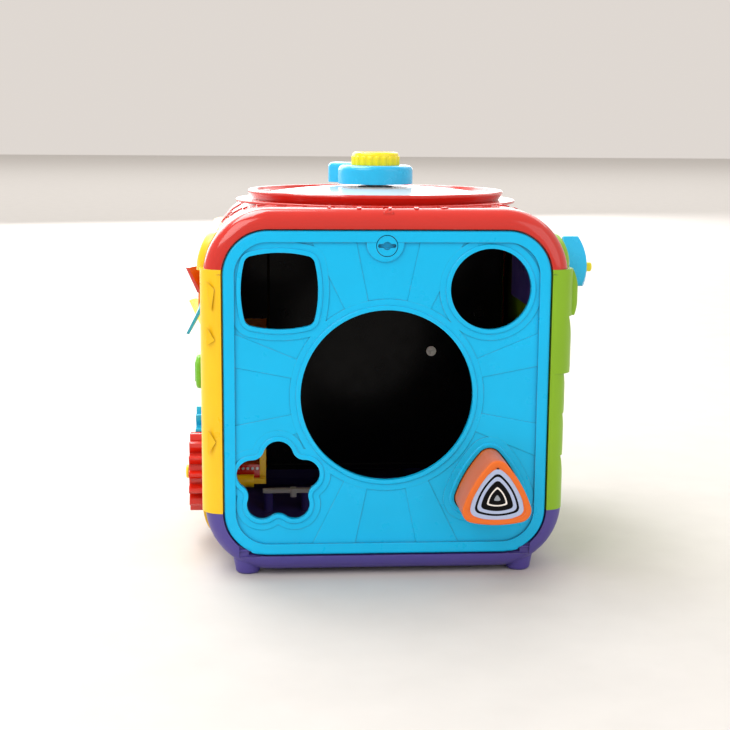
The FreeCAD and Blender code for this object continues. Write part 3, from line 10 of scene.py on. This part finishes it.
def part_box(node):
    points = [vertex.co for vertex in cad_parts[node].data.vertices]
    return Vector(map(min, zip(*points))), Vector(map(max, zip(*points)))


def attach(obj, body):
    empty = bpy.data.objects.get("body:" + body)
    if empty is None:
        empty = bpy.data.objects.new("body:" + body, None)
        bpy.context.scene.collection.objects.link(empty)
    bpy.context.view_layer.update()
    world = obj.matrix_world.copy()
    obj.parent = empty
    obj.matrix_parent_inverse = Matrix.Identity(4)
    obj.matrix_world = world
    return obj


# Baby activity cube, metres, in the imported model's own frame: origin on the floor under the middle
# of the cube, +Z up, sorter door towards -Y, music panel towards +Y.

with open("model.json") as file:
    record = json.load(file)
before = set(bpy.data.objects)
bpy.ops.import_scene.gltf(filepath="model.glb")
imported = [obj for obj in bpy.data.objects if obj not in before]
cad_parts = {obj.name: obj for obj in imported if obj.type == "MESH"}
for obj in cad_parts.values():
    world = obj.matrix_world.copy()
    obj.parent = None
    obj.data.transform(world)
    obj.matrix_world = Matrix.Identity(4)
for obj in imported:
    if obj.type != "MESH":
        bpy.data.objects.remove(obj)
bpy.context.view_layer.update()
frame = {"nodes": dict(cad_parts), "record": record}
NODES = frame["nodes"]
MM = 0.001

# ---- camera and stage ----------------------------------------------------------------------

CAMERA_AT = (-0.0890, -1.1300, 0.3331)
CAMERA_YAW = math.radians(4.139)
CAMERA_PITCH = math.radians(9.756)
CAMERA_ROLL = math.radians(0.423)
CAMERA_LENS_MM = 68.79
SENSOR_MM = 36.0
CLIP_NEAR = 0.05
CLIP_FAR = 60.0

AIM = (0.0, 0.0, 0.15)
WHITE = (1.0, 1.0, 1.0)
# name, place, what it faces, width and height, power, colour
LAMPS = [
    ("key_light", (-1.5, -1.3, 1.9), AIM, (1.6, 1.6), 26.0, (1.0, 0.985, 0.96)),
    ("fill_light", (1.7, -1.5, 1.1), AIM, (1.8, 1.8), 8.0, (0.96, 0.98, 1.0)),
    ("top_light", (-0.7, 0.5, 2.0), AIM, (1.3, 1.0), 30.0, WHITE),
    ("window_light", (-0.9, 3.2, 1.35), AIM, (4.6, 2.3), 95.0, (1.0, 0.98, 0.99)),
    ("room_light", (0.0, 6.0, 4.5), (0.0, 6.01, 0.0), (12.0, 6.0), 260.0, WHITE),
]
ROOM_COLOUR = (1.0, 0.93, 0.87, 1.0)
ROOM_STRENGTH = 0.74
FLOOR_HALF = 14.0
FLOOR_ROUGHNESS = 0.75


def make_camera():
    """Camera low in front of the cube, turned a little towards its right side."""
    cos_p, sin_p = math.cos(CAMERA_PITCH), math.sin(CAMERA_PITCH)
    forward = Vector((math.sin(CAMERA_YAW) * cos_p, math.cos(CAMERA_YAW) * cos_p, -sin_p))
    level = Vector((math.cos(CAMERA_YAW), -math.sin(CAMERA_YAW), 0.0))
    upright = level.cross(forward)
    cos_r, sin_r = math.cos(CAMERA_ROLL), math.sin(CAMERA_ROLL)
    right = level * cos_r + upright * sin_r
    up = upright * cos_r - level * sin_r
    data = bpy.data.cameras.new("camera")
    data.lens = CAMERA_LENS_MM
    data.sensor_width = SENSOR_MM
    data.clip_start = CLIP_NEAR
    data.clip_end = CLIP_FAR
    camera = bpy.data.objects.new("camera", data)
    turn = Matrix((right, up, -forward)).transposed()
    camera.matrix_world = Matrix.Translation(CAMERA_AT) @ turn.to_4x4()
    bpy.context.scene.collection.objects.link(camera)
    bpy.context.scene.camera = camera


def area_light(name, place, target, size, power, colour):
    """Rectangular lamp at a place, facing a target; the camera doesn't see it."""
    data = bpy.data.lights.new(name, "AREA")
    data.shape = "RECTANGLE"
    data.size, data.size_y = size
    data.energy = power
    data.color = colour
    light = bpy.data.objects.new(name, data)
    light.location = place
    light.rotation_mode = "QUATERNION"
    light.rotation_quaternion = (Vector(target) - Vector(place)).to_track_quat("-Z", "Y")
    light.visible_camera = False
    bpy.context.scene.collection.objects.link(light)


def make_lights():
    """Soft lamps in front and above, two broad ones behind, and a warm even room."""
    for name, place, target, size, power, colour in LAMPS:
        area_light(name, place, target, size, power, colour)
    world = bpy.data.worlds.new("studio")
    world.use_nodes = True
    background = world.node_tree.nodes["Background"]
    background.inputs["Color"].default_value = ROOM_COLOUR
    background.inputs["Strength"].default_value = ROOM_STRENGTH
    bpy.context.scene.world = world


def make_floor():
    """Plain pale floor, with a faint broad unevenness."""
    half = FLOOR_HALF
    corners = [(-half, -half, 0), (half, -half, 0), (half, half, 0), (-half, half, 0)]
    mesh = bpy.data.meshes.new("floor")
    mesh.from_pydata(corners, [], [(0, 1, 2, 3)])
    floor = bpy.data.objects.new("floor", mesh)
    bpy.context.scene.collection.objects.link(floor)
    pale = moulded("floor_pale", srgb(204, 201, 197), FLOOR_ROUGHNESS, grain=0.0, wear=0.0, mottle=0.02)
    mesh.materials.append(pale)


# ---- materials -----------------------------------------------------------------------------


def srgb(red, green, blue):
    """Linear colour from display values."""
    def one(value):
        share = value / 255.0
        return share / 12.92 if share <= 0.04045 else ((share + 0.055) / 1.055) ** 2.4
    return (one(red), one(green), one(blue))


def tint(colour, share):
    """Colour scaled in brightness, as a shader value."""
    return tuple(min(1.0, part * share) for part in colour) + (1.0,)


def toward_white(colour, share):
    """Colour moved towards white by a share, as a shader value."""
    return tuple(part + (1.0 - part) * share for part in colour) + (1.0,)


# noise scales in cycles per metre, from broad flow marks to the fine skin of the moulding
FLOW_SCALE = 22.0
GLOSS_SCALE = 70.0
RUB_SCALE = 160.0
SKIN_SCALE = 1900.0
SKIN_DEPTH = 0.00005
EDGE_RADIUS = 0.6 * MM
# reach of the ambient occlusion that paints shade into narrow recesses
CREASE_SHADE_REACH = 4.0 * MM
COAT_ROUGHNESS = 0.08
PLASTIC_IOR = 1.5


class Shader:
    """Small helper that adds nodes to one material and links them."""

    def __init__(self, name):
        self.material = bpy.data.materials.new(name)
        self.material.use_nodes = True
        self.tree = self.material.node_tree
        self.surface = self.tree.nodes["Principled BSDF"]

    def node(self, kind, settings=(), inputs=()):
        made = self.tree.nodes.new(kind)
        for key, value in dict(settings).items():
            setattr(made, key, value)
        for key, value in dict(inputs).items():
            if isinstance(value, bpy.types.NodeSocket):
                self.tree.links.new(value, made.inputs[key])
            else:
                made.inputs[key].default_value = value
        return made

    def noise(self, scale, detail=2.0):
        coords = self.node("ShaderNodeTexCoord")
        inputs = {"Vector": coords.outputs["Object"], "Scale": scale, "Detail": detail}
        return self.node("ShaderNodeTexNoise", {}, inputs).outputs["Fac"]

    def spread(self, value, low, high, to_low, to_high):
        inputs = {"Value": value, "From Min": low, "From Max": high, "To Min": to_low, "To Max": to_high}
        return self.node("ShaderNodeMapRange", {}, inputs).outputs["Result"]

    def mix(self, share, first, second):
        mixer = self.node("ShaderNodeMix", {"data_type": "RGBA"})
        for key, value in (("Factor_Float", share), ("A_Color", first), ("B_Color", second)):
            socket = next(s for s in mixer.inputs if s.identifier == key)
            if isinstance(value, bpy.types.NodeSocket):
                self.tree.links.new(value, socket)
            else:
                socket.default_value = value
        return next(s for s in mixer.outputs if s.identifier == "Result_Color")

    def maths(self, operation, first, second):
        made = self.node("ShaderNodeMath", {"operation": operation})
        for socket, value in zip(made.inputs, (first, second)):
            if isinstance(value, bpy.types.NodeSocket):
                self.tree.links.new(value, socket)
            else:
                socket.default_value = value
        return made.outputs[0]

    def edges(self, radius):
        """Softened normal, and a mask that is 1 on edges sharper than the radius."""
        bevel = self.node("ShaderNodeBevel", {"samples": 4}, {"Radius": radius}).outputs["Normal"]
        flat = self.node("ShaderNodeNewGeometry").outputs["Normal"]
        inputs = {0: bevel, 1: flat}
        same = self.node("ShaderNodeVectorMath", {"operation": "DOT_PRODUCT"}, inputs).outputs["Value"]
        return bevel, self.spread(same, 1.0, 0.86, 0.0, 1.0)

    def bump(self, height, strength, distance, normal):
        inputs = {"Height": height, "Strength": strength, "Distance": distance, "Normal": normal}
        return self.node("ShaderNodeBump", {}, inputs).outputs["Normal"]

    def link(self, value, name):
        self.tree.links.new(value, self.surface.inputs[name])


def moulded(name, colour, roughness, grain=0.05, wear=0.30, mottle=0.03, metallic=0.0, coat=0.0,
            shine=0.5, crease_shade=0.0):
    """Moulded plastic or plated metal: flow mottling, uneven gloss, a fine skin and rubbed edges.

    With a crease share, narrow recesses are darkened by that share: painted shade standing in for the
    shade that falls in them."""
    shader = Shader(name)
    flow = shader.spread(shader.noise(FLOW_SCALE, 3.0), 0.3, 0.7, 0.0, 1.0)
    base = shader.mix(flow, tint(colour, 1 - mottle), tint(colour, 1 + mottle))
    fine = shader.noise(GLOSS_SCALE, 4.0)
    gloss = shader.spread(fine, 0.3, 0.7, roughness - 0.04, roughness + 0.06)
    normal, edge = shader.edges(EDGE_RADIUS)
    if wear:
        patches = shader.spread(shader.noise(RUB_SCALE, 5.0), 0.42, 0.62, 0.0, wear)
        rubbed = shader.maths("MULTIPLY", edge, patches)
        base = shader.mix(rubbed, base, toward_white(colour, 0.35))
        gloss = shader.maths("ADD", gloss, shader.maths("MULTIPLY", rubbed, 0.25))
    # painted shade: narrow recesses are darkened towards a dark copy of the colour, standing in for the
    # shade that falls there
    if crease_shade:
        reach = {"Distance": CREASE_SHADE_REACH}
        recess_occlusion = shader.node("ShaderNodeAmbientOcclusion", {"samples": 4}, reach).outputs["AO"]
        base = shader.mix(shader.spread(recess_occlusion, 0.35, 0.85, crease_shade, 0.0), base, tint(colour, 0.15))
    shader.link(base, "Base Color")
    shader.link(gloss, "Roughness")
    if grain:
        normal = shader.bump(shader.noise(SKIN_SCALE, 2.0), grain, SKIN_DEPTH, normal)
    shader.link(normal, "Normal")
    shader.surface.inputs["Metallic"].default_value = metallic
    shader.surface.inputs["Coat Weight"].default_value = coat
    shader.surface.inputs["Coat Roughness"].default_value = COAT_ROUGHNESS
    shader.surface.inputs["Specular IOR Level"].default_value = shine
    shader.surface.inputs["IOR"].default_value = PLASTIC_IOR
    return shader.material


# slot: display colour, roughness, and what else differs from plain moulded plastic; a crease share is
# painted shade in narrow recesses
FINISHES = {
    "door_blue": ((2, 190, 246), 0.30, {"shine": 0.3, "crease_shade": 0.7}),
    "cover_red": ((204, 32, 16), 0.16, {"coat": 0.5}),
    "panel_yellow": ((250, 200, 4), 0.30, {"crease_shade": 0.4}),
    "panel_green": ((134, 184, 8), 0.32, {"crease_shade": 0.4}),
    "base_purple": ((78, 66, 150), 0.36, {}),
    "hub_blue": ((24, 178, 232), 0.24, {"coat": 0.2}),
    "knob_yellow": ((252, 232, 30), 0.26, {"coat": 0.2}),
    "block_orange": ((236, 112, 34), 0.36, {"shine": 0.35}),
    "dial_white": ((246, 240, 232), 0.08, {"coat": 0.6, "grain": 0.02, "wear": 0.0}),
    "gear_orange": ((240, 112, 16), 0.28, {"crease_shade": 0.4}),
    "slider_green": ((112, 190, 34), 0.28, {}),
    "trim_white": ((236, 236, 230), 0.38, {}),
    "housing_black": ((7, 7, 9), 0.22, {"shine": 0.10, "wear": 0.06}),
    "rear_orange": ((248, 146, 36), 0.30, {}),
    "button_clear": ((252, 214, 120), 0.10, {"coat": 0.5, "grain": 0.03}),
    "board_green": ((16, 92, 52), 0.45, {}),
    "rubber_grey": ((122, 124, 128), 0.70, {"grain": 0.25}),
    "cell_wrap": ((58, 62, 70), 0.25, {"coat": 0.3}),
    "steel": ((196, 198, 202), 0.28, {"metallic": 1.0}),
    "speaker_black": ((26, 26, 28), 0.65, {"grain": 0.25}),
}


def make_finishes():
    """One material for each slot."""
    made = {}
    for slot, (colour, roughness, extra) in FINISHES.items():
        made[slot] = moulded(slot, srgb(*colour), roughness, **extra)
    return made


def dress_nodes(finishes):
    """Every CAD node takes its slot's material."""
    for part in frame["record"]["subparts"]:
        node = NODES[part["node"]]
        node.data.materials.clear()
        node.data.materials.append(finishes[part["material_slot"]])


# ---- flat outlines and thin pieces -----------------------------------------------------------


def bulged_triangle(reach, flat, corner, centre, steps=7):
    """Points of a triangle with bulging sides and round corners, one corner up."""
    half = math.pi / 3
    ring = reach - corner
    inner = flat - corner
    back = (ring ** 2 - inner ** 2) / (2 * (inner - ring * math.cos(half)))
    points = []
    for k in range(3):
        angle = math.pi / 2 + 2 * k * half
        middle = Vector((ring * math.cos(angle), ring * math.sin(angle)))
        ends = []
        for way in (-1, 1):
            side = Vector((-back * math.cos(angle + way * half), -back * math.sin(angle + way * half)))
            ends.append(math.atan2(middle.y - side.y, middle.x - side.x))
        sweep = (ends[1] - ends[0]) % (2 * math.pi)
        for step in range(steps):
            turn = ends[0] + sweep * step / (steps - 1)
            points.append(middle + corner * Vector((math.cos(turn), math.sin(turn))))
        side = Vector((-back * math.cos(angle + half), -back * math.sin(angle + half)))
        next_middle = Vector((ring * math.cos(angle + 2 * half), ring * math.sin(angle + 2 * half)))
        from_side = next_middle - side
        span = (math.atan2(from_side.y, from_side.x) - ends[1]) % (2 * math.pi)
        for step in range(1, 2 * steps):
            turn = ends[1] + span * step / (2 * steps)
            points.append(side + (flat + back) * Vector((math.cos(turn), math.sin(turn))))
    return [p + Vector(centre) for p in points]


def link_mesh(name, mesh, material, body):
    """Put a mesh in the scene as a piece that moves with a body."""
    piece = bpy.data.objects.new(name, mesh)
    bpy.context.scene.collection.objects.link(piece)
    mesh.materials.append(material)
    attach(piece, body)
    return piece


def printed_shape(name, outer, inner, level, thick, material, body):
    """Thin layer of print facing -Y; with an inner outline it is a line of print."""
    build = bmesh.new()
    loops = []
    for y in (level, level + thick):
        for outline in [outer] + ([inner] if inner else []):
            loops.append([build.verts.new((p.x, y, p.y)) for p in outline])
    count = len(outer)
    if inner:
        front_out, front_in, back_out, back_in = loops
        pairs = ((front_out, front_in), (front_in, back_in), (back_in, back_out), (back_out, front_out))
    else:
        pairs = ((loops[0], loops[1]),)
        build.faces.new(loops[0])
        build.faces.new(reversed(loops[1]))
    for first, second in pairs:
        for k in range(count):
            following = (k + 1) % count
            build.faces.new((first[k], first[following], second[following], second[k]))
    bmesh.ops.recalc_face_normals(build, faces=build.faces)
    mesh = bpy.data.meshes.new(name)
    build.to_mesh(mesh)
    build.free()
    return link_mesh(name, mesh, material, body)


# name, ink, reach of a corner, flat side as a share of it, corner radius, reach of the hollow (mm)
PRINT_STACK = [
    ("print_field", "lavender", 21.6, 0.76, 5.4, None),
    ("print_line", "black", 18.0, 0.72, 4.0, 16.0),
    ("print_triangle", "black", 12.9, 0.72, 2.8, None),
    ("print_outline", "white", 8.4, 0.70, 1.2, 6.9),
    ("print_centre", "grey", 2.5, 0.70, 0.7, None),
]
PRINT_DROP = 27.8 * MM
PRINT_FACE_DEPTH = 0.5 * MM
PRINT_LAYER = 0.06 * MM


def make_inks():
    plain = {"grain": 0.05, "wear": 0.0}
    return {
        "lavender": moulded("ink_lavender", srgb(178, 192, 226), 0.30, **plain),
        "black": moulded("ink_black", srgb(5, 5, 9), 0.34, shine=0.1, **plain),
        "grey": moulded("ink_grey", srgb(150, 158, 168), 0.30, **plain),
        "white": moulded("ink_white", srgb(244, 238, 232), 0.30, **plain),
    }


def make_block_print():
    """Nested triangles printed on the sorting block's face."""
    low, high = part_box("triangle_block")
    centre = ((low.x + high.x) / 2, high.z - PRINT_DROP)
    face = low.y + PRINT_FACE_DEPTH
    ink = make_inks()
    for rank, (name, colour, reach, flat, corner, hollow) in enumerate(PRINT_STACK):
        outer = bulged_triangle(reach * MM, reach * flat * MM, corner * MM, centre)
        inner = None
        if hollow:
            inner = bulged_triangle(hollow * MM, hollow * flat * MM, corner * MM * hollow / reach, centre)
        level = face - (rank + 1) * PRINT_LAYER
        printed_shape(name, outer, inner, level, PRINT_LAYER, ink[colour], "block")


# ---- raised marks round the dial ---------------------------------------------------------------

MARK_R = 120.0 * MM
MARK_HEIGHT = 0.9 * MM
MARK_ROOT = 0.4 * MM
NUMBER_SIZE = 16.0 * MM
NUMBER_BOLD = 0.3 * MM
MARK_STEP = math.radians(10.0)
HALF_SHEET = 0.5 * MM
LONGEST_EDGE = 2.0 * MM
ABOVE_COVER = 50.0 * MM
RAY_START = 20.0 * MM


def surface_tree(node):
    """Ray-casting tree over a CAD node's surface."""
    mesh = NODES[node].data
    return BVHTree.FromPolygons([v.co for v in mesh.vertices], [tuple(p.vertices) for p in mesh.polygons])


def lay_on_cover(mesh, tree, angle):
    """Wrap a flat mark round the cover: its x runs round the dial and its y towards the middle.

    Points with z above 0 stand up from the surface and the others are sunk into it."""
    outward = Vector((math.sin(angle), -math.cos(angle), 0.0))
    above = outward * MARK_R + Vector((0, 0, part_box("top_cover")[1].z + ABOVE_COVER))
    anchor, normal, _index, _distance = tree.ray_cast(above, Vector((0, 0, -1)))
    across = Vector((math.cos(angle), math.sin(angle), 0.0))
    across = (across - normal * across.dot(normal)).normalized()
    inward = normal.cross(across)
    for vertex in mesh.vertices:
        start = anchor + across * vertex.co.x + inward * vertex.co.y + normal * RAY_START
        hit, _normal, _index, _distance = tree.ray_cast(start, -normal)
        vertex.co = hit + normal * (MARK_HEIGHT if vertex.co.z > 0 else -MARK_ROOT)
    mesh.update()


def split_long_edges(mesh, longest):
    """Divide the mesh until its edges are short enough to follow a curved surface."""
    build = bmesh.new()
    build.from_mesh(mesh)
    bmesh.ops.triangulate(build, faces=build.faces)
    for _round in range(5):
        long = [e for e in build.edges if e.calc_length() > longest]
        if not long:
            break
        bmesh.ops.subdivide_edges(build, edges=long, cuts=1)
        bmesh.ops.triangulate(build, faces=build.faces)
    build.to_mesh(mesh)
    build.free()


def number_mesh(text):
    """Flat number round the origin."""
    curve = bpy.data.curves.new("number", "FONT")
    curve.body = text
    curve.size = NUMBER_SIZE
    curve.align_x = "CENTER"
    curve.align_y = "CENTER"
    curve.extrude = HALF_SHEET
    curve.offset = NUMBER_BOLD
    curve.resolution_u = 4
    holder = bpy.data.objects.new("number", curve)
    mesh = bpy.data.meshes.new_from_object(holder)
    bpy.data.objects.remove(holder)
    return mesh


def ring_mesh(count, outer, inner, stretch=1.0):
    """Flat ring with count corners; with inner 0 it is a full disc."""
    build = bmesh.new()
    rings = []
    turns = [2 * math.pi * k / count for k in range(count)]
    for radius in (outer, inner):
        for z in (-HALF_SHEET, HALF_SHEET):
            spots = [(radius * stretch * math.sin(t), radius * math.cos(t), z) for t in turns]
            rings.append([build.verts.new(spot) for spot in spots])
    order = (rings[0], rings[1], rings[3], rings[2]) if inner else (rings[0], rings[1])
    for k in range(count):
        following = (k + 1) % count
        for first, second in zip(order, order[1:] + order[:1] if inner else order[1:]):
            build.faces.new((first[k], first[following], second[following], second[k]))
    if not inner:
        build.faces.new(rings[0])
        build.faces.new(rings[1])
        bmesh.ops.delete(build, geom=rings[2] + rings[3], context="VERTS")
    bmesh.ops.recalc_face_normals(build, faces=build.faces)
    mesh = bpy.data.meshes.new("mark")
    build.to_mesh(mesh)
    build.free()
    return mesh


def make_dial_marks(finishes):
    """Raised marks round the dial, ten degrees apart: on each side a ring, three numbers with round
    pips between them, and a diamond."""
    tree = surface_tree("top_cover")
    number = 1
    for side in range(4):
        for step in range(-4, 5):
            angle = side * math.pi / 2 + MARK_STEP * step
            name = "dial_mark_%d_%d" % (side + 1, step + 5)
            if step in (-2, 0, 2):
                mesh = number_mesh(str(number))
                name = "dial_number_%d" % number
                number += 1
            elif step == -4:
                mesh = ring_mesh(20, 4.2 * MM, 2.6 * MM)
            elif step == 4:
                mesh = ring_mesh(4, 3.6 * MM, 2.2 * MM, 1.6)
            else:
                mesh = ring_mesh(14, 1.8 * MM, 0)
            split_long_edges(mesh, LONGEST_EDGE)
            lay_on_cover(mesh, tree, angle)
            link_mesh(name, mesh, finishes["cover_red"], "cube")


finishes = make_finishes()
make_camera()
make_lights()
make_floor()
dress_nodes(finishes)
make_block_print()
make_dial_marks(finishes)

bpy.context.scene.view_settings.view_transform = "Standard"
